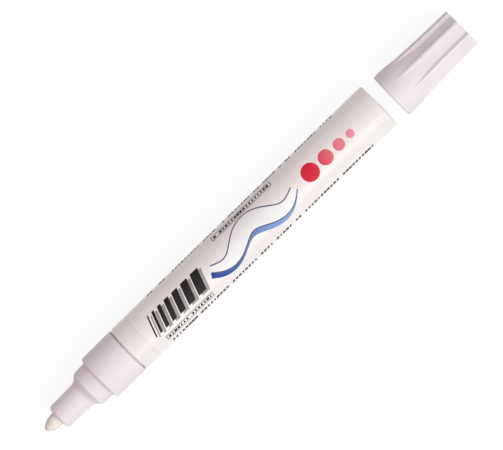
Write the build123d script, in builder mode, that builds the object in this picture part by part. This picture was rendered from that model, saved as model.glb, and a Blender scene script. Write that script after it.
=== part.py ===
import os
from math import cos, hypot, pi, radians, sin, sqrt, tan

from build123d import *

# A valve action paint marker, lying on its side with its cap taken off and laid behind its tail.
# X runs along the marker, nib at -X and cap at +X, Z is up and the origin is on the floor below
# the middle. Lengths are in millimetres.

# Barrel, a drawn tube with a closed tail
barrel_diameter = 15.0
barrel_length = 99.7
barrel_wall = 0.5
barrel_floor = 1.0
barrel_tail_radius = 0.4
barrel_lip_radius = 0.35

# Printed film wrapped round the barrel
film_thickness = 0.06
film_front_margin = 5.5
film_tail_margin = 4.1

# Nose section, outside: a collar flush with the barrel, a neck that the cap grips, and the nose
collar_length = 12.0
collar_draft = 0.07
collar_edge_radius = 0.9
collar_seam_chamfer = 0.3
neck_length = 4.3
neck_diameter = 12.4
neck_draft = 0.25
neck_edge_radius = 0.5
shoulder_angle = 45.0
shoulder_radius = 2.4
nose_length = 10.0
nose_diameter = 8.4
nose_draft = 0.24
nose_edge_radius = 0.7

# Nose section, inside: the spigot in the barrel, the valve's pocket and the paint chamber
spigot_length = 8.0
spigot_wall = 1.3
spigot_rib_height = 0.25
spigot_rib_width = 0.9
spigot_rib_count = 3
spigot_lead = 0.4
pocket_depth = 10.5
pocket_step = 0.9
collar_front_wall = 1.5
neck_wall = 1.5
neck_chamber_depth = 2.6
guide_groove_depth = 0.45
guide_groove_width = 0.8
guide_groove_count = 4
guide_front_land = 4.0

# Nib, a round fibre rod with an ogive point
nib_diameter = 4.4
nib_reach = 5.2
nib_point_length = 4.0
nib_tip_radius = 1.0
nib_tail_chamfer = 0.3

# Valve
valve_travel = 1.5
seat_thickness = 2.5
seat_hole_radius = 1.9
seat_ring_width = 0.7
seat_ring_height = 0.4
washer_thickness = 0.8
stem_radius = 1.1
stem_cup_depth = 1.6
stem_cup_wall = 0.8
stem_cup_floor = 1.0
stem_cup_room = 1.0
stem_notch_width = 1.2
stem_notch_count = 4
stem_tail_hold = 0.8
plug_thickness = 1.4
plug_flow_gap = 1.1
cage_wall = 1.1
cage_reach = 6.4
cage_end_wall = 1.6
cage_edge_radius = 0.5
cage_window_width = 3.2
cage_window_margin = 0.6
cage_window_count = 4
spring_wire = 0.4
spring_stem_gap = 0.7
spring_end_gap = 0.05
spring_turns = 6

# Ball that stirs the paint
ball_diameter = 6.0
ball_gap = 0.05
ball_end_gap = 0.3
ball_place_share = 0.55

# Cap, a moulded shell, round at its mouth and drawn in behind it to a ring of flat floored flutes
cap_wall = 1.145
cap_draft = 0.65
cap_end_wall = 1.5
cap_end_room = 3.15
cap_rim_chamfer = 0.3
cap_mouth_radius = 0.25
flute_count = 8
flute_depth = 1.2
flute_start = 5.8
flute_full = 23.0
flute_step_count = 3
flute_first_share = 0.12
flute_turn_angle = 4.0
flute_wall_top_angle = 21.0
flute_wall_angle = 15.5

# Inner cap, the liner that seals round the nose
liner_wall = 0.7
liner_draft = 0.2
liner_floor = 0.8
liner_flange_width = 0.6
liner_flange_thickness = 1.0
liner_front_gap = 0.2
nib_tip_room = 1.4
liner_end_radius = 0.8

# Clearances, and how the cap lies
press_gap = 0.02
slide_gap = 0.05
guide_gap = 0.08
cap_gap = 4.1
cap_aside = 0.66
overrun = 1.0

# Radii that several pieces share
barrel_radius = barrel_diameter / 2
bore_radius = barrel_radius - barrel_wall
spigot_radius = bore_radius - press_gap - spigot_rib_height
pocket_radius = spigot_radius - spigot_wall
chamber_radius = pocket_radius - pocket_step
valve_radius = pocket_radius - press_gap
cage_bore_radius = valve_radius - cage_wall
plug_radius = cage_bore_radius - plug_flow_gap
neck_radius = neck_diameter / 2
neck_front_radius = neck_radius - neck_draft
neck_chamber_radius = neck_front_radius - neck_wall
nose_radius = nose_diameter / 2
nib_radius = nib_diameter / 2
nib_bore_radius = nib_radius + slide_gap
cap_radius = neck_radius + press_gap + cap_wall
liner_bore_radius = nose_radius + slide_gap
liner_radius = liner_bore_radius + liner_wall
liner_flange_radius = liner_radius + liner_flange_width

# Places along the marker, from the barrel's mouth towards its tail
neck_front = -collar_length - neck_length
shoulder_rise = neck_front_radius - nose_radius
shoulder_run = shoulder_rise / tan(radians(shoulder_angle))
shoulder_foot = neck_front - shoulder_run
nose_front = shoulder_foot - nose_length
nib_tip = nose_front - nib_reach
pocket_front = spigot_length - pocket_depth
seat_back = pocket_front + seat_thickness
washer_front = seat_back + seat_ring_height
plug_front = washer_front + washer_thickness
plug_back = plug_front + plug_thickness
nib_tail = pocket_front - valve_travel - stem_cup_room - stem_cup_floor
cage_back = spigot_length + cage_reach
cage_end_front = cage_back - cage_end_wall
stem_tail = cage_end_front + stem_tail_hold
guide_back = -collar_length - neck_chamber_depth
chamber_front = -collar_length + collar_front_wall

# Places in the cap, from its mouth inwards, where the neck and nose reach when it is on
shoulder_fillet_share = 0.6
shoulder_flank = hypot(shoulder_rise, shoulder_run)
half_turn = tan(radians(shoulder_angle) / 2)
shoulder_fillet = min(shoulder_radius, shoulder_fillet_share * shoulder_flank / half_turn)
liner_front = neck_length + shoulder_run + shoulder_fillet * half_turn + liner_front_gap
liner_flange_back = liner_front + liner_flange_thickness
liner_inner_end = neck_length + shoulder_run + nose_length + nib_reach + nib_tip_room
liner_end = liner_inner_end + liner_floor
cap_inner_end = liner_end + cap_end_room
cap_length = cap_inner_end + cap_end_wall

# Frames: the marker lies on its film, and the cap lies on its mouth end
overall_length = -nib_tip + barrel_length + cap_gap + cap_length
mouth_x = -overall_length / 2 - nib_tip
axis_height = barrel_radius + film_thickness
cap_x = mouth_x + barrel_length + cap_gap
marker_plane = Plane(origin=(mouth_x, 0, axis_height), x_dir=(1, 0, 0), z_dir=(0, -1, 0))
marker_axis = Axis((mouth_x, 0, axis_height), (1, 0, 0))
cap_plane = Plane(origin=(cap_x, -cap_aside, cap_radius), x_dir=(1, 0, 0), z_dir=(0, -1, 0))
cap_axis = Axis((cap_x, -cap_aside, cap_radius), (1, 0, 0))


def across(place):
    """The plane square to the marker at a place along it, turned so that its x points up."""
    return Plane(origin=(mouth_x + place, 0, axis_height), x_dir=(0, 0, 1), z_dir=(1, 0, 0))


def cap_across(place):
    """The plane square to the cap at a place behind its mouth, turned so that its x points up."""
    return Plane(origin=(cap_x + place, -cap_aside, cap_radius), x_dir=(0, 0, 1), z_dir=(1, 0, 0))


os.makedirs("parts", exist_ok=True)

with BuildPart() as barrel_tube:
    with BuildSketch(marker_plane):
        with BuildLine():
            FilletPolyline(
                (0, bore_radius),
                (0, barrel_radius),
                (barrel_length, barrel_radius),
                (barrel_length, 0),
                (barrel_length - barrel_floor, 0),
                (barrel_length - barrel_floor, bore_radius),
                radius=[0, barrel_lip_radius, barrel_tail_radius, 0, 0, barrel_wall],
                close=True,
            )
        make_face()
    revolve(axis=marker_axis)
barrel_tube.part.label = "barrel_tube"
export_step(barrel_tube.part, "parts/barrel_tube.step")

film_length = barrel_length - film_front_margin - film_tail_margin
with BuildPart() as barrel_film:
    with BuildSketch(marker_plane):
        with Locations((film_front_margin, barrel_radius)):
            Rectangle(film_length, film_thickness, align=(Align.MIN, Align.MIN))
    revolve(axis=marker_axis)
barrel_film.part.label = "barrel_film"
export_step(barrel_film.part, "parts/barrel_film.step")

with BuildPart() as nose_section:
    with BuildSketch(marker_plane):
        with BuildLine():
            outside = FilletPolyline(
                (nose_front, nib_bore_radius),
                (nose_front, nose_radius - nose_draft),
                (shoulder_foot, nose_radius),
                (neck_front, neck_front_radius),
                (-collar_length, neck_radius),
                (-collar_length, barrel_radius - collar_draft),
                (-collar_seam_chamfer, barrel_radius),
                radius=[nose_edge_radius, shoulder_fillet, neck_edge_radius, 0, collar_edge_radius],
            )
            Polyline(
                outside @ 1,
                (0, barrel_radius - collar_seam_chamfer),
                (0, spigot_radius),
                (spigot_length - spigot_lead, spigot_radius),
                (spigot_length, spigot_radius - spigot_lead),
                (spigot_length, pocket_radius),
                (pocket_front, pocket_radius),
                (pocket_front, chamber_radius),
                (chamber_front, chamber_radius),
                (chamber_front, neck_chamber_radius),
                (guide_back, neck_chamber_radius),
                (guide_back, nib_bore_radius),
                outside @ 0,
            )
        make_face()
    revolve(axis=marker_axis)
    rib_pitch = spigot_length / (spigot_rib_count + 1)
    with BuildSketch(marker_plane):
        for rib in range(spigot_rib_count):
            rib_crest = (rib + 1) * rib_pitch
            with BuildLine():
                Polyline(
                    (rib_crest - spigot_rib_width / 2, pocket_radius + spigot_wall / 2),
                    (rib_crest - spigot_rib_width / 2, spigot_radius),
                    (rib_crest, spigot_radius + spigot_rib_height),
                    (rib_crest + spigot_rib_width / 2, spigot_radius),
                    (rib_crest + spigot_rib_width / 2, pocket_radius + spigot_wall / 2),
                    close=True,
                )
            make_face()
    revolve(axis=marker_axis)
    with Locations(across(nose_front + guide_front_land)):
        with PolarLocations(nib_bore_radius, guide_groove_count):
            Box(
                2 * guide_groove_depth,
                guide_groove_width,
                guide_back - nose_front - guide_front_land + overrun,
                align=(Align.CENTER, Align.CENTER, Align.MIN),
                mode=Mode.SUBTRACT,
            )
nose_section.part.label = "nose_section"
export_step(nose_section.part, "parts/nose_section.step")

# The point is an arc that runs smoothly into the rod behind and into a small round tip in front
point_run = nib_point_length - nib_tip_radius
point_radius = (point_run**2 + nib_radius**2 - nib_tip_radius**2) / (2 * (nib_radius - nib_tip_radius))
tip_lean = (point_radius - nib_radius) / (point_radius - nib_tip_radius)
tip_end = (
    nib_tip + nib_tip_radius - nib_tip_radius * sqrt(1 - tip_lean**2),
    nib_tip_radius * tip_lean,
)
with BuildPart() as nib:
    with BuildSketch(marker_plane):
        with BuildLine():
            tip_arc = TangentArc((nib_tip, 0), tip_end, tangent=(0, 1))
            flank = TangentArc(tip_arc @ 1, (nib_tip + nib_point_length, nib_radius), tangent=tip_arc % 1)
            Polyline(
                flank @ 1,
                (nib_tail - nib_tail_chamfer, nib_radius),
                (nib_tail, nib_radius - nib_tail_chamfer),
                (nib_tail, 0),
                (nib_tip, 0),
            )
        make_face()
    revolve(axis=marker_axis)
nib.part.label = "nib"
export_step(nib.part, "parts/nib.step")

with BuildPart() as valve_seat:
    with BuildSketch(marker_plane):
        with BuildLine():
            Polyline(
                (pocket_front, seat_hole_radius),
                (pocket_front, valve_radius),
                (seat_back, valve_radius),
                (seat_back, seat_hole_radius + seat_ring_width),
                (washer_front, seat_hole_radius + seat_ring_width),
                (washer_front, seat_hole_radius),
                close=True,
            )
        make_face()
    revolve(axis=marker_axis)
valve_seat.part.label = "valve_seat"
export_step(valve_seat.part, "parts/valve_seat.step")

cup_radius = nib_radius + press_gap
cup_front = nib_tail - stem_cup_depth
with BuildPart() as valve_stem:
    with BuildSketch(marker_plane):
        with BuildLine():
            Polyline(
                (cup_front, cup_radius),
                (cup_front, cup_radius + stem_cup_wall),
                (nib_tail + stem_cup_floor, cup_radius + stem_cup_wall),
                (nib_tail + stem_cup_floor, stem_radius),
                (plug_front, stem_radius),
                (plug_front, plug_radius),
                (plug_back, plug_radius),
                (plug_back, stem_radius),
                (stem_tail, stem_radius),
                (stem_tail, 0),
                (nib_tail, 0),
                (nib_tail, cup_radius),
                close=True,
            )
        make_face()
    revolve(axis=marker_axis)
    with Locations(across(cup_front)):
        with PolarLocations(cup_radius, stem_notch_count):
            Box(
                2 * (stem_cup_wall + overrun),
                stem_notch_width,
                stem_cup_depth,
                align=(Align.CENTER, Align.CENTER, Align.MIN),
                mode=Mode.SUBTRACT,
            )
valve_stem.part.label = "valve_stem"
export_step(valve_stem.part, "parts/valve_stem.step")

with BuildPart() as valve_washer:
    with BuildSketch(marker_plane):
        with Locations((washer_front, stem_radius + press_gap)):
            Rectangle(
                washer_thickness,
                plug_radius - stem_radius - press_gap,
                align=(Align.MIN, Align.MIN),
            )
    revolve(axis=marker_axis)
valve_washer.part.label = "valve_washer"
export_step(valve_washer.part, "parts/valve_washer.step")

window_front = spigot_length + cage_window_margin
with BuildPart() as spring_cage:
    with BuildSketch(marker_plane):
        with BuildLine():
            FilletPolyline(
                (seat_back, cage_bore_radius),
                (seat_back, valve_radius),
                (cage_back, valve_radius),
                (cage_back, stem_radius + guide_gap),
                (cage_end_front, stem_radius + guide_gap),
                (cage_end_front, cage_bore_radius),
                radius=[0, 0, cage_edge_radius, 0, 0, 0],
                close=True,
            )
        make_face()
    revolve(axis=marker_axis)
    with Locations(across(window_front)):
        with PolarLocations(valve_radius, cage_window_count):
            Box(
                2 * (cage_wall + overrun),
                cage_window_width,
                cage_end_front - window_front - cage_window_margin,
                align=(Align.CENTER, Align.CENTER, Align.MIN),
                mode=Mode.SUBTRACT,
            )
spring_cage.part.label = "spring_cage"
export_step(spring_cage.part, "parts/spring_cage.step")

# The spring's line: each quarter turn of its helix is two arcs that meet smoothly
spring_radius = stem_radius + spring_stem_gap + spring_wire / 2
spring_front = plug_back + spring_end_gap + spring_wire / 2
spring_back = cage_end_front - spring_end_gap - spring_wire / 2
spring_pitch = (spring_back - spring_front) / spring_turns
quarter_count = 4 * spring_turns


def spring_point(turn):
    angle = 2 * pi * turn
    across_axis = (spring_radius * cos(angle), spring_radius * sin(angle))
    return Vector(mouth_x + spring_front + spring_pitch * turn, across_axis[0], axis_height + across_axis[1])


def spring_heading(turn):
    angle = 2 * pi * turn
    around = 2 * pi * spring_radius
    return Vector(spring_pitch, -around * sin(angle), around * cos(angle)).normalized()


def arc_meeting(start, end, start_heading, end_heading):
    """The point where two equal arcs from start to end, with these headings, meet smoothly."""
    chord = end - start
    headings = start_heading + end_heading
    turn = 2 * (1 - start_heading.dot(end_heading))
    along = chord.dot(headings)
    reach = (sqrt(along**2 + turn * chord.dot(chord)) - along) / turn
    return (start + end + (start_heading - end_heading) * reach) / 2


with BuildPart() as valve_spring:
    with BuildLine() as spring_line:
        for quarter in range(quarter_count):
            turn_start = quarter / 4
            turn_end = (quarter + 1) / 4
            start = spring_point(turn_start)
            end = spring_point(turn_end)
            heading = spring_heading(turn_start)
            meeting = arc_meeting(start, end, heading, spring_heading(turn_end))
            first_arc = TangentArc(start, meeting, tangent=heading)
            TangentArc(meeting, end, tangent=first_arc % 1)
    with BuildSketch(Plane(origin=spring_point(0), z_dir=spring_heading(0))):
        Circle(spring_wire / 2)
    sweep()
valve_spring.part.label = "valve_spring"
export_step(valve_spring.part, "parts/valve_spring.step")

# Least gap between the spring's turns, on points along its line
points_per_turn = 24
spring_line_points = [
    spring_point(step / points_per_turn) for step in range(points_per_turn * spring_turns + 1)
]
half_turn_points = points_per_turn // 2
spring_gap = min(
    (spring_line_points[later] - spring_line_points[earlier]).length - spring_wire
    for earlier in range(len(spring_line_points))
    for later in range(earlier + half_turn_points, len(spring_line_points))
)
spring_length = sum(edge.length for edge in spring_line.edges())
spring_section = pi * spring_wire**2 / 4
print(f"valve spring: least gap {spring_gap:.2f} mm, line {spring_length:.1f} mm,")
print(f"  volume over section times length {valve_spring.part.volume / (spring_section * spring_length):.4f}")

# The ball lies on the barrel's lowest inside line, free to roll from the cage to the tail
ball_radius = ball_diameter / 2
ball_first = cage_back + ball_radius + ball_end_gap
ball_last = barrel_length - barrel_floor - ball_radius - ball_end_gap
ball_place = ball_first + ball_place_share * (ball_last - ball_first)
ball_height = axis_height - bore_radius + ball_gap + ball_radius
with BuildPart() as mixing_ball:
    with Locations((mouth_x + ball_place, 0, ball_height)):
        Sphere(ball_radius)
mixing_ball.part.label = "mixing_ball"
export_step(mixing_ball.part, "parts/mixing_ball.step")
print(f"ball: rest {ball_place:.2f}, range {ball_first - ball_place:.2f} to {ball_last - ball_place:.2f} mm")

# Sections across the cap from the start of its flutes to its rim. A flute sinks in quickly behind its
# start and levels out where it is full, and its walls spread as it sinks
flute_angle = 360 / flute_count


def ridge_radius(place):
    return cap_radius - cap_draft * (place - flute_start) / (cap_length - flute_start)


def sunk_share(place):
    left_share = max(0, (flute_full - place) / (flute_full - flute_start))
    return max(flute_first_share, 1 - left_share**2)


def ring_point(radius, angle):
    return (radius * cos(radians(angle)), radius * sin(radians(angle)))


flute_step = (flute_full - flute_start) / flute_step_count
section_places = [flute_start + step * flute_step for step in range(flute_step_count + 1)]
cap_sections = [(place, ridge_radius(place), sunk_share(place)) for place in section_places]
cap_sections += [
    (cap_length - cap_rim_chamfer, ridge_radius(cap_length), 1),
    (cap_length, ridge_radius(cap_length) - cap_rim_chamfer, 1),
]
with BuildPart() as cap_shell:
    with BuildSketch(cap_across(0)):
        Circle(cap_radius)
    extrude(amount=flute_start)
    fillet(cap_shell.edges().sort_by(Axis.X)[0], cap_mouth_radius)
    for place, ridge, share in cap_sections:
        floor = ridge - flute_depth * share
        foot_angle = flute_wall_top_angle - flute_wall_angle * share
        with BuildSketch(cap_across(place)):
            with BuildLine():
                for flute in range(flute_count):
                    middle = flute_turn_angle + flute * flute_angle
                    crest = middle + flute_angle / 2
                    after = middle + flute_angle
                    floor_arc = ThreePointArc(
                        ring_point(floor, middle - foot_angle),
                        ring_point(floor, middle),
                        ring_point(floor, middle + foot_angle),
                    )
                    ridge_arc = ThreePointArc(
                        ring_point(ridge, middle + flute_wall_top_angle),
                        ring_point(ridge, crest),
                        ring_point(ridge, after - flute_wall_top_angle),
                    )
                    Line(floor_arc @ 1, ridge_arc @ 0)
                    Line(ridge_arc @ 1, ring_point(floor, after - foot_angle))
            make_face()
    loft(ruled=True)
    with BuildSketch(cap_plane):
        with BuildLine():
            Polyline(
                (0, 0),
                (0, neck_radius + press_gap),
                (neck_length, neck_front_radius + press_gap),
                (liner_front, liner_flange_radius + press_gap),
                (liner_flange_back, liner_flange_radius + press_gap),
                (liner_flange_back, liner_radius + press_gap),
                (cap_inner_end, liner_radius - liner_draft + press_gap),
                (cap_inner_end, 0),
                close=True,
            )
        make_face()
    revolve(axis=cap_axis, mode=Mode.SUBTRACT)
cap_shell.part.label = "cap_shell"
export_step(cap_shell.part, "parts/cap_shell.step")

liner_slope = liner_draft / (cap_inner_end - liner_flange_back)
liner_end_wall_radius = liner_radius - liner_slope * (liner_end - liner_flange_back)
with BuildPart() as inner_cap:
    with BuildSketch(cap_plane):
        with BuildLine():
            FilletPolyline(
                (liner_front, liner_bore_radius),
                (liner_front, liner_flange_radius),
                (liner_flange_back, liner_flange_radius),
                (liner_flange_back, liner_radius),
                (liner_end, liner_end_wall_radius),
                (liner_end, 0),
                (liner_inner_end, 0),
                (liner_inner_end, liner_end_wall_radius - liner_wall),
                radius=[0, 0, 0, 0, liner_end_radius, 0, 0, 0],
                close=True,
            )
        make_face()
    revolve(axis=cap_axis)
inner_cap.part.label = "inner_cap"
export_step(inner_cap.part, "parts/inner_cap.step")

print(f"overall {overall_length:.2f} mm, mouth at x {mouth_x:.3f}, cap mouth at x {cap_x:.3f}")
print(f"capped length {collar_length + barrel_length + cap_length:.2f} mm")
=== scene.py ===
import math

import bmesh
import bpy
from mathutils import Matrix, Vector


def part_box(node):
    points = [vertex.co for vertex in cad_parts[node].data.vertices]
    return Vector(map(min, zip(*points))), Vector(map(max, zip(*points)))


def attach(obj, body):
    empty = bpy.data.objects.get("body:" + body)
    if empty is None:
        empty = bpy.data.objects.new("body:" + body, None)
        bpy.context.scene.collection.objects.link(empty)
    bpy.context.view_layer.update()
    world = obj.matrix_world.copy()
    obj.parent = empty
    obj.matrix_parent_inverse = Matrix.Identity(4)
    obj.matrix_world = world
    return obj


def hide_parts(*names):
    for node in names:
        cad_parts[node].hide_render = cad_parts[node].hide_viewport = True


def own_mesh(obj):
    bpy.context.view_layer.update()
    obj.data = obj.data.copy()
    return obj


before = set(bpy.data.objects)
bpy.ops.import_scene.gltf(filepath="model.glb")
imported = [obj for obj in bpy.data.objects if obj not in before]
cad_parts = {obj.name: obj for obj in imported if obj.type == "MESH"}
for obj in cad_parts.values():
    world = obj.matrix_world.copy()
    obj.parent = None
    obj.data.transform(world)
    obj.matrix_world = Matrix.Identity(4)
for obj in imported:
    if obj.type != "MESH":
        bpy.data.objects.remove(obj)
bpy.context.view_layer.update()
mm = 0.001
print("frame loaded:", len(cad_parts), "nodes")

# Places read from the frame, in millimetres: the marker lies along X
barrelLow, barrelHigh = (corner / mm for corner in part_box("barrel_tube"))
filmLow, filmHigh = (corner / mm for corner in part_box("barrel_film"))
noseLow, noseHigh = (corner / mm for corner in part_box("nose_section"))
nibLow, nibHigh = (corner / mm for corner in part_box("nib"))
capLow, capHigh = (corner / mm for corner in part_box("cap_shell"))
linerLow, linerHigh = (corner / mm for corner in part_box("inner_cap"))
mouthX, tailX = barrelLow.x, barrelHigh.x
barrelRadius = (barrelHigh.z - barrelLow.z) / 2
filmRadius = (filmHigh.z - filmLow.z) / 2
nibRadius = (nibHigh.z - nibLow.z) / 2
markerAxis = Vector((mouthX, 0, (filmLow.z + filmHigh.z) / 2))
capRadius = (capHigh.z - capLow.z) / 2
capAxis = Vector((capLow.x, (capLow.y + capHigh.y) / 2, (capLow.z + capHigh.z) / 2))
capLength = capHigh.x - capLow.x


def linear(hexColour):
    channels = (int(hexColour[place:place + 2], 16) / 255 for place in (1, 3, 5))
    return tuple(c / 12.92 if c <= 0.04045 else ((c + 0.055) / 1.055) ** 2.4 for c in channels) + (1.0,)


def addNode(tree, kind, inputs=None, **settings):
    # a Mix node's sockets go by number: 0 is the share, 2 and 3 are the numbers to mix, 4 and 5 the
    # vectors, 6 and 7 the colours, and outputs 0, 1 and 2 give the number, the vector and the colour;
    # a Random Value node takes a number's limits at 2 and 3 and gives the number at output 1
    node = tree.nodes.new(kind)
    for name, value in settings.items():
        setattr(node, name, value)
    for key, value in (inputs or {}).items():
        if isinstance(value, bpy.types.Node):
            value = value.outputs[0]  # a node stands for its first output
        if isinstance(value, bpy.types.NodeSocket):
            tree.links.new(value, node.inputs[key])
        else:
            node.inputs[key].default_value = value
    return node


# Finishes: a look gives two close tones and the size of their drift, the grain of the skin, how far
# that varies the roughness, and its relief; sizes are in millimetres, and a stretch draws drift and
# grain out along the marker
noiseSpan = {"From Min": 0.35, "From Max": 0.65}  # where most of a noise lies
grainDetail = 3.0  # layers of finer and finer noise in the grain


def newFinish(name, look, shaderInputs):
    material = bpy.data.materials.new(name)
    material.use_nodes = True
    tree = material.node_tree
    tree.nodes.clear()
    place = addNode(tree, "ShaderNodeTexCoord").outputs["Object"]
    scale = (1 / (mm * look.get("stretch", 1.0)), 1 / mm, 1 / mm)
    millimetres = addNode(tree, "ShaderNodeMapping", {"Vector": place, "Scale": scale})
    if "fadeFrom" in look:  # the tone runs along the marker from dark to light
        along = addNode(tree, "ShaderNodeSeparateXYZ", {"Vector": place}).outputs["X"]
        span = {"From Min": look["fadeFrom"] * mm, "From Max": look["fadeTo"] * mm}
        drift = addNode(tree, "ShaderNodeMapRange", {"Value": along, **span})
    else:
        cloud = addNode(tree, "ShaderNodeTexNoise", {"Vector": millimetres, "Scale": 1 / look["drift"]})
        drift = addNode(tree, "ShaderNodeMapRange", {"Value": cloud, **noiseSpan})
    tone = addNode(tree, "ShaderNodeMix", {
        0: drift, 6: linear(look["dark"]), 7: linear(look["light"])}, data_type="RGBA")
    grain = addNode(tree, "ShaderNodeTexNoise", {
        "Vector": millimetres, "Scale": 1 / look["grain"], "Detail": grainDetail})
    smooth, rough = look["rough"]
    roughness = addNode(tree, "ShaderNodeMapRange", {
        "Value": grain, **noiseSpan, "To Min": smooth, "To Max": rough})
    relief = addNode(tree, "ShaderNodeBump", {"Height": grain, "Distance": look["relief"] * mm})
    shader = addNode(tree, "ShaderNodeBsdfPrincipled", {
        "Base Color": tone.outputs[2], "Roughness": roughness, "Normal": relief, **shaderInputs})
    addNode(tree, "ShaderNodeOutputMaterial", {"Surface": shader})
    return material


# injection moulded, faintly pink white: soft wide highlights, light bleeds a little through the wall
mouldedPolypropylene = newFinish("mouldedPolypropylene", {
    "dark": "#EADEE3", "light": "#EDE2E6", "drift": 9.0, "grain": 0.6, "rough": (0.34, 0.44),
    "relief": 0.004},
    {"IOR": 1.49, "Specular IOR Level": 0.25, "Subsurface Weight": 0.12, "Subsurface Scale": 1.0,
     "Subsurface Radius": (1.2 * mm, 1.2 * mm, 1.2 * mm)})

# sprayed and baked on a drawn tube: smooth, a little orange peel, a clear soft sheen
enamelledAluminium = newFinish("enamelledAluminium", {
    "dark": "#EBE2E1", "light": "#EEE6E5", "drift": 12.0, "grain": 1.1, "rough": (0.3, 0.4),
    "relief": 0.005},
    {"IOR": 1.5, "Specular IOR Level": 0.2, "Diffuse Roughness": 0.5, "Coat Weight": 0.6,
     "Coat IOR": 1.7, "Coat Roughness": 0.3})

# acrylic fibres bonded and ground to a point: matt cream with fine streaks along the nib, the strands
# drawn about twice their real width so that they show
bondedFibre = newFinish("bondedFibre", {
    "dark": "#F0E4D9", "light": "#FBF4EC", "drift": 0.4, "grain": 0.32, "stretch": 9.0,
    "rough": (0.75, 0.9), "relief": 0.04},
    {"IOR": 1.45, "Specular IOR Level": 0.2, "Sheen Weight": 0.15, "Sheen Roughness": 0.6})

# unpigmented and waxy: milky, a little see-through, dull highlights
naturalPolyethylene = newFinish("naturalPolyethylene", {
    "dark": "#DEDBD6", "light": "#E8E6E1", "drift": 2.5, "grain": 0.8, "rough": (0.45, 0.6),
    "relief": 0.004},
    {"IOR": 1.51, "Specular IOR Level": 0.3, "Subsurface Weight": 0.25, "Subsurface Scale": 1.0,
     "Subsurface Radius": (1.5 * mm, 1.4 * mm, 1.3 * mm)})

# moulded engineering plastic: opaque milk white, slick
acetal = newFinish("acetal", {
    "dark": "#DCDCD8", "light": "#E6E6E2", "drift": 1.6, "grain": 0.5, "rough": (0.3, 0.42),
    "relief": 0.003},
    {"IOR": 1.48, "Specular IOR Level": 0.45})

# pressed black rubber: deep grey, no clear highlight, slight bloom
nitrileRubber = newFinish("nitrileRubber", {
    "dark": "#1B1B1C", "light": "#262627", "drift": 0.7, "grain": 0.25, "rough": (0.65, 0.85),
    "relief": 0.008},
    {"IOR": 1.52, "Specular IOR Level": 0.3})

# drawn stainless wire: bright metal with fine marks along the draw
drawnSteelWire = newFinish("drawnSteelWire", {
    "dark": "#B9BABC", "light": "#CBCCCE", "drift": 0.4, "grain": 0.12, "rough": (0.22, 0.36),
    "relief": 0.002},
    {"Metallic": 1.0})

# lapped bearing steel: near mirror with faint lapping haze
lappedSteel = newFinish("lappedSteel", {
    "dark": "#C4C6C9", "light": "#CDCFD2", "drift": 0.9, "grain": 0.3, "rough": (0.06, 0.14),
    "relief": 0.0005},
    {"Metallic": 1.0})
print("finishes: plastics, enamel, fibre, rubber and steels mixed")


# Turned forms: the points of an arc stand arcStep degrees apart or closer, a hold point stands off each
# end of it by a share of its reach, and edges of more than sharpAngle degrees stay sharp
lathe = {"arcStep": 9.0, "leastSteps": 4, "holdShare": 0.12, "axisReach": 1e-6, "sharpAngle": 35.0}


def roundedOutline(corners):
    # corners are (along, radius, rounding) in millimetres: each rounding becomes an arc, with a
    # point beside each end of it so that the smooth shading stays within the arc
    points = []
    for place, (along, radius, rounding) in enumerate(corners):
        here = Vector((along, radius))
        if rounding == 0 or place in (0, len(corners) - 1):
            points.append(here)
            continue
        back = (Vector(corners[place - 1][:2]) - here).normalized()
        ahead = (Vector(corners[place + 1][:2]) - here).normalized()
        half = back.angle(ahead) / 2
        reach = rounding / math.tan(half)
        centre = here + (back + ahead).normalized() * rounding / math.sin(half)
        start, end = here + back * reach, here + ahead * reach
        sweep = (start - centre).angle_signed(end - centre)
        steps = max(lathe["leastSteps"], math.ceil(abs(sweep) / math.radians(lathe["arcStep"])))
        points.append(start + back * reach * lathe["holdShare"])
        for step in range(steps + 1):
            points.append(centre + Matrix.Rotation(-sweep * step / steps, 2) @ (start - centre))
        points.append(end + ahead * reach * lathe["holdShare"])
    return points


def stepped(points, step):
    # extra rings along the straight runs, no further apart than step
    result = [points[0]]
    for before, after in zip(points, points[1:]):
        count = max(1, math.ceil((after - before).length / step))
        result += [before.lerp(after, part / count) for part in range(1, count + 1)]
    return result


def latheMesh(name, outline, origin, segments, closed=False, startTurn=0.0):
    # outline points are (along, radius) from origin; an outline that isn't closed starts and ends on
    # the axis; turns are counted from straight up towards -Y
    vertices, rings, faces = [], [], []
    for along, radius in outline:
        count = 1 if radius < lathe["axisReach"] else segments
        rings.append((len(vertices), count))
        for spoke in range(count):
            turn = math.radians(startTurn) + 2 * math.pi * spoke / segments
            across = Vector((0, -radius * math.sin(turn), radius * math.cos(turn)))
            vertices.append((origin + Vector((along, 0, 0)) + across) * mm)
    pairs = list(zip(rings, rings[1:]))
    if closed:
        pairs.append((rings[-1], rings[0]))
    for (first, firstCount), (second, secondCount) in pairs:
        for spoke in range(segments):
            after = (spoke + 1) % segments
            corners = [first + spoke % firstCount, first + after % firstCount,
                       second + after % secondCount, second + spoke % secondCount]
            faces.append(list(dict.fromkeys(corners)))
    mesh = bpy.data.meshes.new(name)
    mesh.from_pydata(vertices, [], [face for face in faces if len(face) > 2])
    return mesh


def finishMesh(mesh):
    form = bmesh.new()
    form.from_mesh(mesh)
    bmesh.ops.recalc_face_normals(form, faces=form.faces)
    form.to_mesh(mesh)
    form.free()
    mesh.shade_smooth()
    mesh.set_sharp_from_angle(angle=math.radians(lathe["sharpAngle"]))


def newPiece(name, mesh, material):
    piece = bpy.data.objects.new(name, mesh)
    bpy.context.scene.collection.objects.link(piece)
    mesh.materials.append(material)
    return piece


def seat(piece, body, slot, *nodes):
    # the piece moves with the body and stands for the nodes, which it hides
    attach(piece, body)
    if nodes:
        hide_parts(*nodes)


barrelShape = {"wall": 0.5, "floor": 1.0, "lipRounding": 0.35, "tailRounding": 0.6, "segments": 192}


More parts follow.
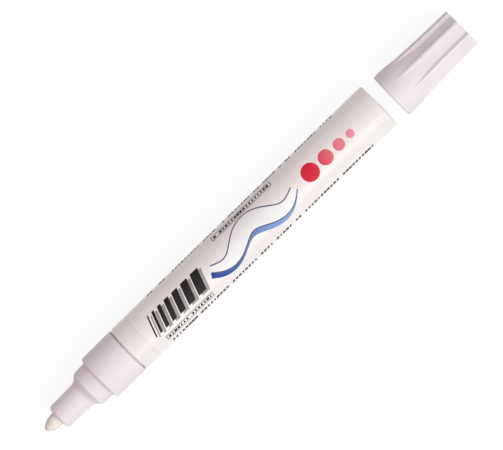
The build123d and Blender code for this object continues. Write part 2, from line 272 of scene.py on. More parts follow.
def buildBarrel():
    length, bore = tailX - mouthX, barrelRadius - barrelShape["wall"]
    inside = length - barrelShape["floor"]
    outline = roundedOutline([
        (length, 0, 0),
        (length, barrelRadius, barrelShape["tailRounding"]),
        (0, barrelRadius, barrelShape["lipRounding"]),
        (0, bore, 0),
        (inside, bore, barrelShape["wall"]),
        (inside, 0, 0)])
    mesh = latheMesh("barrelTube", outline, markerAxis, barrelShape["segments"])
    finishMesh(mesh)
    seat(newPiece("barrelTube", mesh, enamelledAluminium), "barrel", "barrel_enamel", "barrel_tube")


# the edge tone and width give a thin band of painted shade along the film's front edge, standing in for
# the shading of its cut edge
filmShape = {"inkRoom": 0.04, "edgeRounding": 0.01, "edgeShadeTone": "#D9D1CF", "edgeShadeWidth": 0.3,
             "segments": 256}
inkFloor = filmRadius - filmShape["inkRoom"]  # the film's face, below the ink on it


def printedFilm():
    # polyester film, white backed and clear coated: even tone, glossier than the bare barrel, with a
    # fine grey line of painted shade along its front edge, where the cut edge steps down
    material = newFinish("printedFilm", {
        "dark": "#EDE4E3", "light": "#F0E8E7", "drift": 14.0, "grain": 2.0, "rough": (0.28, 0.36),
        "relief": 0.003},
        {"IOR": 1.5, "Specular IOR Level": 0.2, "Diffuse Roughness": 0.5, "Coat Weight": 0.6,
         "Coat IOR": 1.7, "Coat Roughness": 0.28})
    tree = material.node_tree
    shader = tree.nodes["Principled BSDF"]
    place = addNode(tree, "ShaderNodeTexCoord").outputs["Object"]
    along = addNode(tree, "ShaderNodeSeparateXYZ", {"Vector": place}).outputs["X"]
    # painted shade: over the edge width behind the film's front edge the colour darkens to the grey edge
    # tone
    edgeShade = addNode(tree, "ShaderNodeMapRange", {
        "Value": along, "From Min": filmLow.x * mm,
        "From Max": (filmLow.x + filmShape["edgeShadeWidth"]) * mm}, interpolation_type="SMOOTHSTEP")
    body = shader.inputs["Base Color"].links[0].from_socket
    tone = addNode(tree, "ShaderNodeMix", {
        0: edgeShade, 6: linear(filmShape["edgeShadeTone"]), 7: body}, data_type="RGBA")
    tree.links.new(tone.outputs[2], shader.inputs["Base Color"])
    return material


def buildFilm():
    front, back, rounding = filmLow.x - mouthX, filmHigh.x - mouthX, filmShape["edgeRounding"]
    outline = roundedOutline([
        (front, barrelRadius, 0),
        (front, inkFloor, rounding),
        (back, inkFloor, rounding),
        (back, barrelRadius, 0)])
    mesh = latheMesh("barrelFilm", outline, markerAxis, filmShape["segments"], closed=True)
    finishMesh(mesh)
    seat(newPiece("barrelFilm", mesh, printedFilm()), "barrel", "barrel_film", "barrel_film")


noseShape = {
    "collarLength": 12.0, "collarDraft": 0.07, "collarRounding": 0.9,
    "seamWidth": 0.48, "seamDepth": 1.1,
    "neckLength": 4.3, "neckRadius": 6.2, "neckDraft": 0.25, "neckRounding": 0.5, "neckFoot": 0.12,
    "shoulderRise": 1.75, "shoulderRounding": 2.4,
    "noseRadius": 4.2, "noseDraft": 0.24, "noseRounding": 0.7,
    "spigotRadius": 6.73, "spigotLead": 0.4, "ribHeight": 0.25, "ribWidth": 0.9, "ribCount": 3,
    "pocketRadius": 5.43, "pocketFront": -2.5, "chamberRadius": 4.53, "chamberFront": -10.5,
    "neckChamberRadius": 4.45, "guideBack": -14.6, "boreGap": 0.05, "boreChamfer": 0.15, "segments": 192}


def buildNose():
    shape = noseShape
    front, spigotEnd = noseLow.x - mouthX, noseHigh.x - mouthX
    collarFront = -shape["collarLength"]
    neckFront = collarFront - shape["neckLength"]
    neckFrontRadius = shape["neckRadius"] - shape["neckDraft"]
    bore = nibRadius + shape["boreGap"]
    outside = [
        (front + shape["boreChamfer"], bore, 0),
        (front, bore + shape["boreChamfer"], 0),
        (front, shape["noseRadius"] - shape["noseDraft"], shape["noseRounding"]),
        (neckFront - shape["shoulderRise"], shape["noseRadius"], shape["shoulderRounding"]),
        (neckFront, neckFrontRadius, shape["neckRounding"]),
        (collarFront, shape["neckRadius"], shape["neckFoot"]),
        (collarFront, barrelRadius - shape["collarDraft"], shape["collarRounding"]),
        (-shape["seamWidth"], barrelRadius, 0),
        (-shape["seamWidth"], barrelRadius - shape["seamDepth"], 0),
        (0, barrelRadius - shape["seamDepth"], 0),
        (0, shape["spigotRadius"], 0)]
    pitch = spigotEnd / (shape["ribCount"] + 1)
    half, crest = shape["ribWidth"] / 2, shape["spigotRadius"] + shape["ribHeight"]
    for rib in range(shape["ribCount"]):
        middle = (rib + 1) * pitch
        outside += [(middle - half, shape["spigotRadius"], 0), (middle, crest, 0),
                    (middle + half, shape["spigotRadius"], 0)]
    inside = [
        (spigotEnd - shape["spigotLead"], shape["spigotRadius"], 0),
        (spigotEnd, shape["spigotRadius"] - shape["spigotLead"], 0),
        (spigotEnd, shape["pocketRadius"], 0),
        (shape["pocketFront"], shape["pocketRadius"], 0),
        (shape["pocketFront"], shape["chamberRadius"], 0),
        (shape["chamberFront"], shape["chamberRadius"], 0),
        (shape["chamberFront"], shape["neckChamberRadius"], 0),
        (shape["guideBack"], shape["neckChamberRadius"], 0),
        (shape["guideBack"], bore, 0)]
    outline = roundedOutline(outside + inside)
    mesh = latheMesh("noseSection", outline, markerAxis, shape["segments"], closed=True)
    finishMesh(mesh)
    seat(newPiece("noseSection", mesh, mouldedPolypropylene), "barrel", "moulded_white", "nose_section")


nibShape = {"pointLength": 4.0, "tipRadius": 1.0, "tailChamfer": 0.3, "flankSteps": 28, "tipSteps": 10,
            "ringStep": 0.5, "segments": 128}


def buildNib():
    # a ball for a tip, then a flank that curves on from it and runs out level with the nib's side
    shape = nibShape
    tip, tail = nibLow.x - mouthX, nibHigh.x - mouthX
    ball = shape["tipRadius"]
    run = shape["pointLength"] - ball
    flank = (run ** 2 + nibRadius ** 2 - ball ** 2) / (2 * (nibRadius - ball))
    lean = math.acos((flank - nibRadius) / (flank - ball))
    meeting = math.pi / 2 - lean
    outline = []
    for step in range(shape["tipSteps"]):
        turn = meeting * step / shape["tipSteps"]
        outline.append(Vector((tip + ball * (1 - math.cos(turn)), ball * math.sin(turn))))
    for step in range(shape["flankSteps"] + 1):
        turn = meeting + lean * step / shape["flankSteps"]
        outline.append(Vector((tip + shape["pointLength"] - flank * math.cos(turn),
                               nibRadius - flank + flank * math.sin(turn))))
    outline += [Vector((tail - shape["tailChamfer"], nibRadius)),
                Vector((tail, nibRadius - shape["tailChamfer"])), Vector((tail, 0))]
    mesh = latheMesh("fibreNib", stepped(outline, shape["ringStep"]), markerAxis, shape["segments"])
    finishMesh(mesh)
    seat(newPiece("fibreNib", mesh, bondedFibre), "nib_unit", "nib_fibre", "nib")


buildBarrel()
buildFilm()
buildNose()
buildNib()
print("marker: barrel, film, nose section and nib turned")


def newTree(name, **sockets):
    # an empty node tree for a modifier, with its named inputs
    tree = bpy.data.node_groups.new(name, "GeometryNodeTree")
    tree.is_modifier = True
    tree.interface.new_socket("Geometry", in_out="INPUT", socket_type="NodeSocketGeometry")
    tree.interface.new_socket("Geometry", in_out="OUTPUT", socket_type="NodeSocketGeometry")
    for socket, kind in sockets.items():
        tree.interface.new_socket(socket, in_out="INPUT", socket_type="NodeSocket" + kind)
    return tree


def runTree(piece, tree, values):
    # runs a node tree on the piece and keeps the result as its plain mesh
    modifier = piece.modifiers.new(tree.name, "NODES")
    modifier.node_group = tree
    for item in tree.interface.items_tree:
        if item.item_type == "SOCKET" and item.in_out == "INPUT" and item.name in values:
            modifier[item.identifier] = values[item.name]
    graph = bpy.context.evaluated_depsgraph_get()
    mesh = bpy.data.meshes.new_from_object(piece.evaluated_get(graph), depsgraph=graph)
    piece.modifiers.clear()
    mesh.name = piece.name
    piece.data = mesh
    finishMesh(mesh)


capShape = {
    "endDraft": 0.7, "rimRounding": 0.3, "mouthRounding": 0.5, "endWall": 1.5,
    "neckBore": 6.22, "neckDepth": 4.3, "neckFrontBore": 5.97,
    "linerSeat": 5.57, "linerSeatDepth": 8.244, "linerBore": 4.97, "linerEndBore": 4.77,
    "gateRadius": 1.1, "gateDepth": 0.18,
    "fluteCount": 8, "fluteDepth": 1.2, "fluteStart": 3.5, "fluteFull": 16.0, "fluteTurn": 4.0,
    "wallTop": 19.2, "wallWidth": 5.0, "ringStep": 0.5, "segments": 384}


def capBlank():
    # the cap before its flutes, with the outside marked for them
    shape = capShape
    inside = capLength - shape["endWall"]
    linerFront = linerLow.x - capLow.x
    outside = roundedOutline([
        (capLength - shape["gateDepth"], 0, 0),
        (capLength - shape["gateDepth"], shape["gateRadius"], 0),
        (capLength, shape["gateRadius"] + shape["gateDepth"], 0),
        (capLength, capRadius, shape["rimRounding"]),
        (0, capRadius, shape["mouthRounding"]),
        (0, shape["neckBore"], 0)])
    hollow = roundedOutline([
        (shape["neckDepth"], shape["neckFrontBore"], 0),
        (linerFront, shape["linerSeat"], 0),
        (shape["linerSeatDepth"], shape["linerSeat"], 0),
        (shape["linerSeatDepth"], shape["linerBore"], 0),
        (inside, shape["linerEndBore"], 0),
        (inside, 0, 0)])
    outside = stepped(outside, shape["ringStep"])
    mesh = latheMesh("capShell", outside + hollow, capAxis, shape["segments"],
                     startTurn=shape["fluteTurn"])
    outerCount = 1 + (len(outside) - 1) * shape["segments"]  # the first ring is the point on the axis
    fluted = mesh.attributes.new("fluted", "FLOAT", "POINT")
    fluted.data.foreach_set("value", [float(place < outerCount) for place in range(len(mesh.vertices))])
    return mesh


def fluteTree():
    # draws the marked outside in to a ring of flat floored flutes behind a round mouth; lengths in
    # metres, angles in radians, a flute's own angles counted from its middle
    tree = newTree("capFlutes", **dict.fromkeys((
        "Mouth X", "Axis Y", "Axis Z", "Cap Radius", "End Radius", "Cap Length",
        "Flute Count", "Flute Depth", "Flute Start", "Flute Full", "Flute Turn",
        "Wall Top", "Wall Width"), "Float"))
    given = addNode(tree, "NodeGroupInput").outputs
    position = addNode(tree, "GeometryNodeInputPosition")
    place = addNode(tree, "ShaderNodeSeparateXYZ", {0: position}).outputs
    along = addNode(tree, "ShaderNodeMath", {0: place["X"], 1: given["Mouth X"]}, operation="SUBTRACT")
    aside = addNode(tree, "ShaderNodeMath", {0: given["Axis Y"], 1: place["Y"]}, operation="SUBTRACT")
    upward = addNode(tree, "ShaderNodeMath", {0: place["Z"], 1: given["Axis Z"]}, operation="SUBTRACT")
    turn = addNode(tree, "ShaderNodeMath", {0: aside, 1: upward}, operation="ARCTAN2")
    turned = addNode(tree, "ShaderNodeMath", {0: turn, 1: given["Flute Turn"]}, operation="SUBTRACT")
    half = addNode(tree, "ShaderNodeMath", {0: math.pi, 1: given["Flute Count"]}, operation="DIVIDE")
    lessHalf = addNode(tree, "ShaderNodeMath", {0: half, 1: -1.0}, operation="MULTIPLY")
    swing = addNode(tree, "ShaderNodeMath", {0: turned, 1: half, 2: lessHalf}, operation="WRAP")
    away = addNode(tree, "ShaderNodeMath", {0: swing}, operation="ABSOLUTE")
    # the ridges draw in behind the start, less and less towards the end; a flute sinks in between them
    # until it is full: the deeper, the wider its walls
    left = addNode(tree, "ShaderNodeMapRange", {
        "Value": along, "From Min": given["Flute Start"], "From Max": given["Cap Length"],
        "To Min": 1.0, "To Max": 0.0})
    leftSquare = addNode(tree, "ShaderNodeMath", {0: left, 1: left}, operation="MULTIPLY")
    ridge = addNode(tree, "ShaderNodeMapRange", {
        "Value": leftSquare, "To Min": given["End Radius"], "To Max": given["Cap Radius"]})
    sunk = addNode(tree, "ShaderNodeMapRange", {
        "Value": along, "From Min": given["Flute Start"], "From Max": given["Flute Full"]},
        interpolation_type="SMOOTHSTEP")
    depth = addNode(tree, "ShaderNodeMath", {0: sunk, 1: given["Flute Depth"]}, operation="MULTIPLY")
    floor = addNode(tree, "ShaderNodeMath", {0: ridge, 1: depth}, operation="SUBTRACT")
    wall = addNode(tree, "ShaderNodeMath", {0: sunk, 1: given["Wall Width"]}, operation="MULTIPLY")
    wallFoot = addNode(tree, "ShaderNodeMath", {0: given["Wall Top"], 1: wall}, operation="SUBTRACT")
    # its floor is round where it starts and turns flat as it sinks
    swingCosine = addNode(tree, "ShaderNodeMath", {0: swing}, operation="COSINE")
    flat = addNode(tree, "ShaderNodeMath", {0: floor, 1: swingCosine}, operation="DIVIDE")
    level = addNode(tree, "ShaderNodeMix", {0: sunk, 2: floor, 3: flat}, data_type="FLOAT")
    surface = addNode(tree, "ShaderNodeMapRange", {
        "Value": away, "From Min": wallFoot, "From Max": given["Wall Top"],
        "To Min": level, "To Max": ridge})
    drawIn = addNode(tree, "ShaderNodeMath", {0: surface, 1: given["Cap Radius"]}, operation="DIVIDE")
    change = addNode(tree, "ShaderNodeMath", {0: drawIn, 1: 1.0}, operation="SUBTRACT")
    marked = addNode(tree, "GeometryNodeInputNamedAttribute", {"Name": "fluted"}, data_type="FLOAT")
    inward = addNode(tree, "ShaderNodeMath", {0: marked, 1: change}, operation="MULTIPLY")
    lessAside = addNode(tree, "ShaderNodeMath", {0: aside, 1: -1.0}, operation="MULTIPLY")
    moveY = addNode(tree, "ShaderNodeMath", {0: lessAside, 1: inward}, operation="MULTIPLY")
    moveZ = addNode(tree, "ShaderNodeMath", {0: upward, 1: inward}, operation="MULTIPLY")
    move = addNode(tree, "ShaderNodeCombineXYZ", {"Y": moveY, "Z": moveZ})
    moved = addNode(tree, "GeometryNodeSetPosition", {"Geometry": given["Geometry"], "Offset": move})
    whole = addNode(tree, "GeometryNodeRealizeInstances", {"Geometry": moved})
    dressed = addNode(tree, "GeometryNodeSetMaterial", {
        "Geometry": whole, "Material": mouldedPolypropylene})
    addNode(tree, "NodeGroupOutput", {"Geometry": dressed})
    return tree


def buildCap():
    shape = capShape
    piece = newPiece("capShell", capBlank(), mouldedPolypropylene)
    runTree(piece, fluteTree(), {
        "Mouth X": capAxis.x * mm, "Axis Y": capAxis.y * mm, "Axis Z": capAxis.z * mm,
        "Cap Radius": capRadius * mm, "End Radius": (capRadius - shape["endDraft"]) * mm,
        "Cap Length": capLength * mm, "Flute Count": float(shape["fluteCount"]),
        "Flute Depth": shape["fluteDepth"] * mm, "Flute Start": shape["fluteStart"] * mm,
        "Flute Full": shape["fluteFull"] * mm, "Flute Turn": math.radians(shape["fluteTurn"]),
        "Wall Top": math.radians(shape["wallTop"]), "Wall Width": math.radians(shape["wallWidth"])})
    seat(piece, "cap", "moulded_white", "cap_shell")


linerShape = {"boreRadius": 4.25, "wall": 0.7, "flangeWidth": 0.6, "flangeThickness": 1.0, "floor": 0.8,
              "draft": 0.166, "endRounding": 0.8, "lipRounding": 0.2, "segments": 128}


def buildLiner():
    shape = linerShape
    front, end = linerLow.x - capLow.x, linerHigh.x - capLow.x
    outer = shape["boreRadius"] + shape["wall"]
    endOuter = outer - shape["draft"]
    flangeBack = front + shape["flangeThickness"]
    outline = roundedOutline([
        (end, 0, 0),
        (end, endOuter, shape["endRounding"]),
        (flangeBack, outer, 0),
        (flangeBack, outer + shape["flangeWidth"], 0),
        (front, outer + shape["flangeWidth"], shape["lipRounding"]),
        (front, shape["boreRadius"], shape["lipRounding"]),
        (end - shape["floor"], endOuter - shape["wall"], 0),
        (end - shape["floor"], 0, 0)])
    mesh = latheMesh("innerCap", outline, capAxis, shape["segments"])
    finishMesh(mesh)
    seat(newPiece("innerCap", mesh, naturalPolyethylene), "cap", "liner_plastic", "inner_cap")


buildCap()
buildLiner()
print("cap: fluted shell and liner made")

# Print on the film, laid out flat in millimetres: s runs back from the film's front edge and t round
# the barrel from its top towards -Y. A mark is a thin closed plate, and the rows of marks are then
# wrapped round the barrel, each ink layer a little above the one before
inkShape = {"layerStep": 0.009, "sink": 0.012}


def plateMesh(name, columns, rows, layer, place):
    # place turns shares along and across the plate into flat millimetres
    low, high = -inkShape["sink"], layer * inkShape["layerStep"]
    grid = [place(a / columns, b / rows) for b in range(rows + 1) for a in range(columns + 1)]
    vertices = [(s * mm, t * mm, height * mm) for height in (high, low) for s, t in grid]
    below, row = len(grid), columns + 1
    faces = []
    for b in range(rows):
        for a in range(columns):
            first = b * row + a
            cell = [first, first + 1, first + row + 1, first + row]
            faces += [cell, [corner + below for corner in reversed(cell)]]
    edge = [*range(row), *range(2 * row - 1, below, row), *range(below - 2, below - row - 1, -1),
            *range(below - 2 * row, 0, -row)]
    for here, after in zip(edge, edge[1:] + edge[:1]):
        faces.append([after, here, here + below, after + below])
    mesh = bpy.data.meshes.new(name)
    mesh.from_pydata(vertices, [], faces)
    return mesh


def barPlace(a, b):
    return a - 0.5, b - 0.5


def discPlace(a, b):
    # a square grid drawn round to a disc one across
    x, y = 2 * a - 1, 2 * b - 1
    return x * math.sqrt(1 - y * y / 2) / 2, y * math.sqrt(1 - x * x / 2) / 2


waveShape = {"start": 27.5, "length": 33.0, "swing": 2.2, "waves": 1.5, "width": 5.4, "endShare": 0.3,
             "line": 0.38, "dropAlong": -1.1, "dropAcross": 1.5, "columns": 140, "rows": 8}


def wavePlace(spare, along=0.0, across=0.0):
    # a brush stroke that swings to and fro, widest in its middle; spare widens it for its outline
    def place(a, b):
        phase = 2 * math.pi * waveShape["waves"]
        s, t = waveShape["length"] * a, waveShape["swing"] * math.sin(phase * a)
        slope = waveShape["swing"] * phase * math.cos(phase * a) / waveShape["length"]
        aside = Vector((-slope, 1)).normalized()
        body = waveShape["endShare"] + (1 - waveShape["endShare"]) * math.sin(math.pi * a)
        reach = (waveShape["width"] * body + 2 * spare) * (b - 0.5)
        return s + aside.x * reach + along, t + aside.y * reach + across
    return place


def inkTree():
    # a row of marks laid out flat and wrapped round the film; lengths in metres
    tree = newTree("inkRow", **{
        "Count": "Int", "Start": "Vector", "Step": "Vector", "Growth": "Float", "First Size": "Vector",
        "Last Size": "Vector", "Vary": "Float", "Keep Share": "Float", "Skew": "Float", "Seed": "Int",
        "Film Front": "Float", "Film Radius": "Float", "Axis Height": "Float", "Ink": "Material"})
    given = addNode(tree, "NodeGroupInput").outputs
    index = addNode(tree, "GeometryNodeInputIndex")
    points = addNode(tree, "GeometryNodeMeshLine", {
        "Count": given["Count"], "Start Location": given["Start"], "Offset": given["Step"]})
    indexSquare = addNode(tree, "ShaderNodeMath", {0: index, 1: index}, operation="MULTIPLY")
    growth = addNode(tree, "ShaderNodeMath", {0: indexSquare, 1: given["Growth"]}, operation="MULTIPLY")
    grown = addNode(tree, "GeometryNodeSetPosition", {
        "Geometry": points, "Offset": addNode(tree, "ShaderNodeCombineXYZ", {"X": growth})})
    last = addNode(tree, "ShaderNodeMath", {0: given["Count"], 1: 1.0}, operation="SUBTRACT")
    share = addNode(tree, "ShaderNodeMath", {0: index, 1: last}, operation="DIVIDE")
    size = addNode(tree, "ShaderNodeMix", {
        0: share, 4: given["First Size"], 5: given["Last Size"]}, data_type="VECTOR")
    least = addNode(tree, "ShaderNodeMath", {0: 1.0, 1: given["Vary"]}, operation="SUBTRACT")
    most = addNode(tree, "ShaderNodeMath", {0: 1.0, 1: given["Vary"]}, operation="ADD")
    stretch = addNode(tree, "FunctionNodeRandomValue", {2: least, 3: most, "Seed": given["Seed"]},
                      data_type="FLOAT")
    varied = addNode(tree, "ShaderNodeCombineXYZ", {"X": stretch.outputs[1], "Y": 1.0, "Z": 1.0})
    scale = addNode(tree, "ShaderNodeVectorMath", {0: size.outputs[1], 1: varied}, operation="MULTIPLY")
    nextSeed = addNode(tree, "ShaderNodeMath", {0: given["Seed"], 1: 1.0}, operation="ADD")
    chance = addNode(tree, "FunctionNodeRandomValue", {2: 0.0, 3: 1.0, "Seed": nextSeed},
                     data_type="FLOAT")
    kept = addNode(tree, "ShaderNodeMath", {0: chance.outputs[1], 1: given["Keep Share"]},
                   operation="LESS_THAN")
    marks = addNode(tree, "GeometryNodeInstanceOnPoints", {
        "Points": grown, "Selection": kept, "Instance": given["Geometry"], "Scale": scale})
    whole = addNode(tree, "GeometryNodeRealizeInstances", {"Geometry": marks})
    position = addNode(tree, "GeometryNodeInputPosition")
    flat = addNode(tree, "ShaderNodeSeparateXYZ", {0: position}).outputs
    rowPlace = addNode(tree, "ShaderNodeSeparateXYZ", {0: given["Start"]}).outputs
    fromRow = addNode(tree, "ShaderNodeMath", {0: flat["Y"], 1: rowPlace["Y"]}, operation="SUBTRACT")
    slanted = addNode(tree, "ShaderNodeMath", {0: fromRow, 1: given["Skew"], 2: flat["X"]},
                      operation="MULTIPLY_ADD")
    alongMarker = addNode(tree, "ShaderNodeMath", {0: slanted, 1: given["Film Front"]}, operation="ADD")
    turn = addNode(tree, "ShaderNodeMath", {0: flat["Y"], 1: given["Film Radius"]}, operation="DIVIDE")
    lessTurn = addNode(tree, "ShaderNodeMath", {0: turn, 1: -1.0}, operation="MULTIPLY")
    radius = addNode(tree, "ShaderNodeMath", {0: given["Film Radius"], 1: flat["Z"]}, operation="ADD")
    sine = addNode(tree, "ShaderNodeMath", {0: lessTurn}, operation="SINE")
    cosine = addNode(tree, "ShaderNodeMath", {0: turn}, operation="COSINE")
    aside = addNode(tree, "ShaderNodeMath", {0: sine, 1: radius}, operation="MULTIPLY")
    upward = addNode(tree, "ShaderNodeMath", {0: cosine, 1: radius, 2: given["Axis Height"]},
                     operation="MULTIPLY_ADD")
    around = addNode(tree, "ShaderNodeCombineXYZ", {"X": alongMarker, "Y": aside, "Z": upward})
    wrapped = addNode(tree, "GeometryNodeSetPosition", {"Geometry": whole, "Position": around})
    dressed = addNode(tree, "GeometryNodeSetMaterial", {"Geometry": wrapped, "Material": given["Ink"]})
    addNode(tree, "NodeGroupOutput", {"Geometry": dressed})
    return tree


def screenInk(name, dark, light, **fade):
    # pigment ink printed on the film: solid, even and satin
    look = {"dark": dark, "light": light, "drift": 3.0, "grain": 0.5, "rough": (0.3, 0.4),
            "relief": 0.001}
    return newFinish(name, {**look, **fade}, {"IOR": 1.5, "Specular IOR Level": 0.15})


waveEnd = waveShape["start"] + waveShape["length"]
discFade = {"start": 68.0, "end": 84.0}
inks = {
    "black": screenInk("blackInk", "#1A1615", "#211D1C"),
    "grey": screenInk("greyInk", "#9C9294", "#A89EA0"),
    "violet": screenInk("violetInk", "#5A5578", "#645F82"),
    "white": screenInk("whiteInk", "#F2EEEE", "#F5F2F2"),
    "blue": screenInk("blueInk", "#1E4696", "#96B4E1",
                      fadeFrom=filmLow.x + waveShape["start"], fadeTo=filmLow.x + waveEnd),
    "red": screenInk("redInk", "#D8203A", "#F096A5",
                     fadeFrom=filmLow.x + discFade["start"], fadeTo=filmLow.x + discFade["end"])}

bars = {"mark": "bar", "count": 7, "step": (1.79, 0), "growth": 0.208, "first": (0.5, 6.4),
        "last": (3.0, 6.4), "skew": -0.35}
wave = {"mark": "wave", "count": 1, "start": (waveShape["start"], 0), "first": (1, 1)}
dashes = {"mark": "dash", "ink": "black", "layer": 1, "step": (1.25, 0), "first": (0.85, 1.25),
          "vary": 0.45, "keep": 0.84, "skew": -0.2}
boxLines = {"ink": "black", "layer": 1, "count": 2}
boxEdge = 0.2
boxDashes = {**dashes, "step": (1.15, 0)}


def boxRows(name, corner, length, height, lead, **inner):
    # a long box: its two sides, its two ends and the dashes in it, which start a lead from its corner
    left, top = corner
    middle = top + height / 2
    return {
        name + "Sides": {**boxLines, "mark": "strip", "start": (left + length / 2, top),
                         "step": (0, height), "first": (length, boxEdge)},
        name + "Ends": {**boxLines, "mark": "dash", "start": (left, middle),
                        "step": (length, 0), "first": (boxEdge, height + boxEdge)},
        name + "Marks": {**boxDashes, "start": (left + lead, middle), **inner}}


printRows = {
    "inkBarShadows": {**bars, "ink": "grey", "layer": 1, "start": (5.0, 0.75)},
    "inkBars": {**bars, "ink": "black", "layer": 2, "start": (4.25, 0)},
    "inkWaveShade": {**wave, "ink": "blue", "layer": 1, "spare": 0.0, "drop": 1.0},
    "inkWaveLine": {**wave, "ink": "violet", "layer": 2, "spare": waveShape["line"], "drop": 0.0},
    "inkWave": {**wave, "ink": "white", "layer": 3, "spare": 0.0, "drop": 0.0},
    "inkDiscs": {"mark": "disc", "ink": "red", "layer": 2, "count": 4, "start": (67.0, 0),
                 "step": (6.5, 0), "growth": -0.42, "first": (5.6, 5.6), "last": (2.6, 2.6)},
    **boxRows("inkUpperBox", corner=(33.5, -7.5), length=23.0, height=1.7, lead=1.1,
              count=19, first=(0.8, 0.9), seed=4),
    **boxRows("inkLowerBox", corner=(5.0, 5.3), length=18.0, height=1.5, lead=1.0,
              count=15, first=(0.75, 0.8), seed=9),
    "inkLowerDashes": {**dashes, "count": 64, "start": (6.0, 8.9), "seed": 1},
    "inkUpperDashes": {**dashes, "count": 60, "start": (8.0, -10.0), "seed": 2}}

# what a row has unless it says otherwise; its keep is above any chance, so that every mark stays
plainRow = {"step": (0, 0), "growth": 0.0, "vary": 0.0, "keep": 2.0, "skew": 0.0, "seed": 0}

# columns and rows of a mark's plate, and the function that gives its form
plateGrids = {"bar": (1, 14, barPlace), "dash": (1, 3, barPlace), "strip": (1, 1, barPlace),
              "disc": (24, 24, discPlace)}


def markMesh(name, row):
    if row["mark"] == "wave":
        columns, rows, drop = waveShape["columns"], waveShape["rows"], row["drop"]
        place = wavePlace(row["spare"], drop * waveShape["dropAlong"], drop * waveShape["dropAcross"])
    else:
        columns, rows, place = plateGrids[row["mark"]]
    return plateMesh(name, columns, rows, row["layer"], place)


def buildPrint():
    tree = inkTree()
    for name, wanted in printRows.items():
        row = {**plainRow, "last": wanted["first"], **wanted}
        ink = inks[row["ink"]]
        piece = newPiece(name, markMesh(name, row), ink)
        runTree(piece, tree, {
            "Count": row["count"],
            "Start": tuple(part * mm for part in row["start"]) + (0.0,),
            "Step": tuple(part * mm for part in row["step"]) + (0.0,),
            "Growth": row["growth"] * mm,
            "First Size": row["first"] + (1.0,), "Last Size": row["last"] + (1.0,),
            "Vary": row["vary"], "Keep Share": row["keep"], "Skew": row["skew"], "Seed": row["seed"],
            "Film Front": filmLow.x * mm, "Film Radius": inkFloor * mm,
            "Axis Height": markerAxis.z * mm, "Ink": ink})
        seat(piece, "barrel", "barrel_film")


buildPrint()
print("print: bars, brush stroke, discs, boxes and rows of dashes on the film")

springShape = {"joint": "nib_press", "weld": 0.0005}


def buildSpring():
    # a copy of the spring's solid, its points welded, on a mesh of its own
    form = bmesh.new()
    form.from_mesh(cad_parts["valve_spring"].data)
    bmesh.ops.remove_doubles(form, verts=form.verts, dist=springShape["weld"] * mm)
    mesh = bpy.data.meshes.new("valveSpring")
    form.to_mesh(mesh)
    form.free()
    finishMesh(mesh)
    piece = newPiece("valveSpring", mesh, drawnSteelWire)
    seat(piece, "barrel", "spring_steel", "valve_spring")
    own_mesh(piece)


# The rest of the valve and the ball keep their solids and get their finishes
for nodeName, finish in (("valve_seat", acetal), ("valve_stem", acetal), ("spring_cage", acetal),
                         ("valve_washer", nitrileRubber), ("mixing_ball", lappedSteel)):
    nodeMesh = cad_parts[nodeName].data
    nodeMesh.materials.clear()
    nodeMesh.materials.append(finish)

buildSpring()

# Floor, light and camera
stageLook = {"floorSize": 8.0, "floorTone": "#C4C3C2", "seenTone": "#7C7C7C", "seenGlow": 0.85,
             "shadeSide": 0.18, "shadeTone": "#FFC4CE", "lightSide": 0.84, "lightTone": "#F5FFFE",
             "skyLean": 60.0, "skyTurn": 55.0, "seenSky": "#FFFFFF",
             "lampDistance": 1.2, "lampTone": "#F4FFFC"}
lamps = {"softBox": {"lean": 48.0, "turn": 5.0, "size": 0.75, "watts": 3.6},
         "overhead": {"lean": 20.0, "turn": 30.0, "size": 1.6, "watts": 5.8}}


def whiteForView(tree, plain, white):
    # the camera and reflections meet the white one, matt surfaces are lit by the plain one
    path = addNode(tree, "ShaderNodeLightPath").outputs
    mirrored = addNode(tree, "ShaderNodeMath", {
        0: path["Is Glossy Ray"], 1: path["Is Transmission Ray"]}, operation="MAXIMUM")
    shown = addNode(tree, "ShaderNodeMath", {
        0: path["Is Camera Ray"], 1: mirrored}, operation="MAXIMUM")
    return addNode(tree, "ShaderNodeMixShader", {0: shown, 1: plain, 2: white})


def buildFloor():
    half = stageLook["floorSize"] / 2
    corners = [(-half, -half, 0), (half, -half, 0), (half, half, 0), (-half, half, 0)]
    mesh = bpy.data.meshes.new("floor")
    mesh.from_pydata(corners, [], [(0, 1, 2, 3)])
    material = bpy.data.materials.new("paperSweep")  # matt white paper, lit through from below
    material.use_nodes = True
    tree = material.node_tree
    tree.nodes.clear()
    paper = addNode(tree, "ShaderNodeBsdfDiffuse", {"Color": linear(stageLook["floorTone"])})
    seen = addNode(tree, "ShaderNodeBsdfDiffuse", {"Color": linear(stageLook["seenTone"])})
    glow = addNode(tree, "ShaderNodeEmission", {"Strength": stageLook["seenGlow"]})
    lit = addNode(tree, "ShaderNodeAddShader", {0: seen, 1: glow})
    addNode(tree, "ShaderNodeOutputMaterial", {"Surface": whiteForView(tree, paper, lit)})
    newPiece("floor", mesh, material)


def towards(lean, turn):
    # the way from the marker that leans so far from straight up, to -Y and turned from there to +X
    lean, turn = math.radians(lean), math.radians(turn)
    return Vector((math.sin(lean) * math.sin(turn), -math.sin(lean) * math.cos(turn), math.cos(lean)))


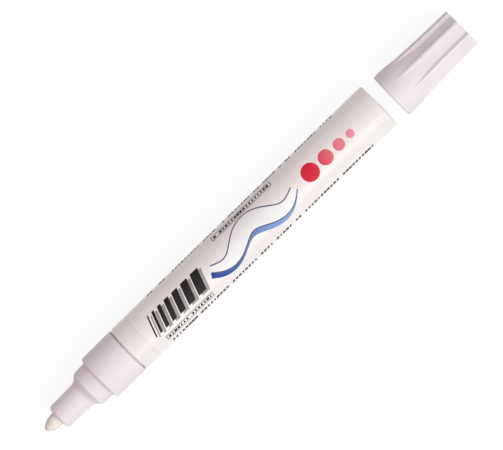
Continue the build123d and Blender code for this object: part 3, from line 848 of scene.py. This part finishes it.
def buildLight():
    world = bpy.data.worlds.new("studio")
    bpy.context.scene.world = world
    world.use_nodes = True
    tree = world.node_tree
    tree.nodes.clear()
    # the room is light and neutral on one side and falls off evenly to a dim, rosy other one
    heading = addNode(tree, "ShaderNodeTexCoord").outputs["Generated"]
    facing = addNode(tree, "ShaderNodeVectorMath", {
        0: heading, 1: towards(stageLook["skyLean"], stageLook["skyTurn"])}, operation="DOT_PRODUCT")
    side = addNode(tree, "ShaderNodeMapRange", {
        "Value": facing.outputs["Value"], "From Min": -1.0, "From Max": 1.0})
    strength = addNode(tree, "ShaderNodeMapRange", {
        "Value": side, "To Min": stageLook["shadeSide"], "To Max": stageLook["lightSide"]})
    tone = addNode(tree, "ShaderNodeMix", {
        0: side, 6: linear(stageLook["shadeTone"]), 7: linear(stageLook["lightTone"])}, data_type="RGBA")
    plain = addNode(tree, "ShaderNodeBackground", {"Color": tone.outputs[2], "Strength": strength})
    white = addNode(tree, "ShaderNodeBackground", {"Color": linear(stageLook["seenSky"])})
    addNode(tree, "ShaderNodeOutputWorld", {"Surface": whiteForView(tree, plain, white)})
    for name, look in lamps.items():
        lamp = bpy.data.lights.new(name, "AREA")
        lamp.shape = "DISK"
        lamp.size = look["size"]
        lamp.color = linear(stageLook["lampTone"])[:3]
        lamp.energy = look["watts"]
        place = bpy.data.objects.new(name, lamp)
        bpy.context.scene.collection.objects.link(place)
        way = towards(look["lean"], look["turn"])
        place.location = way * stageLook["lampDistance"]
        place.rotation_euler = way.to_track_quat("Z", "Y").to_euler()
        place.visible_camera = False


view = {"framePixels": (503, 450), "nibTipPixel": (45.9, 430.2), "pixelSize": 0.2855, "markerTurn": 44.3,
        "leanToCap": 2.8, "distance": 1500.0, "sensor": 36.0, "clipEnd": 20.0}


def buildCamera():
    turn, lean = math.radians(view["markerTurn"]), math.radians(view["leanToCap"])
    back = Vector((math.sin(lean), 0, math.cos(lean)))
    forwards = Vector((math.cos(lean), 0, -math.sin(lean)))  # the marker's axis as the picture sees it
    sideways = Vector((0, 1, 0))
    right = forwards * math.cos(turn) - sideways * math.sin(turn)
    up = forwards * math.sin(turn) + sideways * math.cos(turn)
    tip = Vector((nibLow.x, markerAxis.y, markerAxis.z))
    offRight = (view["framePixels"][0] / 2 - view["nibTipPixel"][0]) * view["pixelSize"]
    offUp = (view["nibTipPixel"][1] - view["framePixels"][1] / 2) * view["pixelSize"]
    aim = tip + right * offRight + up * offUp
    lens = bpy.data.cameras.new("camera")
    lens.sensor_width = view["sensor"]
    lens.lens = view["sensor"] * view["distance"] / (view["framePixels"][0] * view["pixelSize"])
    lens.clip_end = view["clipEnd"]
    camera = bpy.data.objects.new("camera", lens)
    bpy.context.scene.collection.objects.link(camera)
    turned = Matrix((right, up, back)).transposed().to_4x4()
    camera.matrix_world = Matrix.Translation((aim + back * view["distance"]) * mm) @ turned
    bpy.context.scene.camera = camera


buildFloor()
buildLight()
buildCamera()
bpy.context.scene.view_settings.view_transform = "Standard"
print("stage: floor, light and camera set")

bpy.context.view_layer.update()
